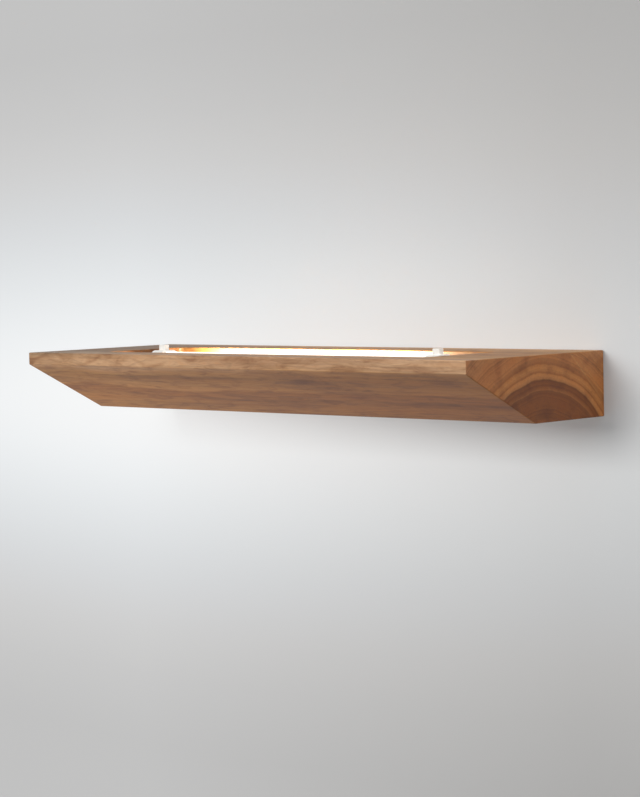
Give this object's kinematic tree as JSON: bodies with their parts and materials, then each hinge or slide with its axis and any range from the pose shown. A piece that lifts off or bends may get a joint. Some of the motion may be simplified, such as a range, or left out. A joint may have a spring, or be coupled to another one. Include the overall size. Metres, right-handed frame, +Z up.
{
  "type": "wall lamp with shelf",
  "caption": "Wall lamp made of a solid timber shelf beam with an undercut front, a light bar in a trough in its top, and a hidden hook-on wall plate.",
  "frame": {"origin": "on the wall plane, midway between the centres of the two wall screw slots", "axes": "+X along the wall to the right seen from the room, -Y into the room, +Z up"},
  "size_m": [0.45, 0.155, 0.0515],
  "materials": {
    "oiled_timber": "planed, sanded and oiled, end grain at both ends",
    "white_enamel": "matt white powder coat",
    "zinc_steel": "bright zinc plating",
    "anodised_aluminium": "extruded, clear anodised",
    "white_board": "white solder mask on the light board",
    "light_chip": "warm white phosphor, emissive when lit",
    "opal_plastic": "opal extrusion, emissive when lit",
    "white_plastic": "moulded, fine satin texture",
    "dark_rubber": "moulded bush",
    "block_plastic": "moulded terminal block",
    "brass": "turned brass",
    "tinned_copper": "tinned and crimped",
    "red_insulation": "lead insulation",
    "black_insulation": "lead insulation",
    "brown_insulation": "lead insulation",
    "blue_insulation": "lead insulation",
    "earth_insulation": "green and yellow lead insulation"
  },
  "bodies": {
    "root": {"shelf_beam": "oiled_timber", "reflector_tray": "white_enamel", "tray_screws": "zinc_steel", "bar_channel": "anodised_aluminium", "light_board": "white_board", "light_chips": "light_chip", "opal_cover": "opal_plastic", "end_holder_left": "white_plastic", "end_holder_right": "white_plastic", "holder_screws": "zinc_steel", "tray_bush": "dark_rubber", "led_lead_positive": "red_insulation", "led_lead_negative": "black_insulation", "driver_case": "white_plastic", "driver_cover_mains": "white_plastic", "driver_cover_low_voltage": "white_plastic", "driver_screws": "zinc_steel", "terminal_block": "block_plastic", "terminal_clamps": "brass", "terminal_screws": "zinc_steel", "terminal_fixing_screw": "zinc_steel", "mains_lead_live": "brown_insulation", "mains_lead_neutral": "blue_insulation", "earth_lead": "earth_insulation", "earth_tag": "tinned_copper", "earth_screw": "brass", "cable_bush": "dark_rubber", "wall_plate": "zinc_steel", "hanger_angle_left": "zinc_steel", "hanger_angle_right": "zinc_steel", "hanger_screws": "zinc_steel", "lock_screws": "zinc_steel"}
  },
  "joints": []
}
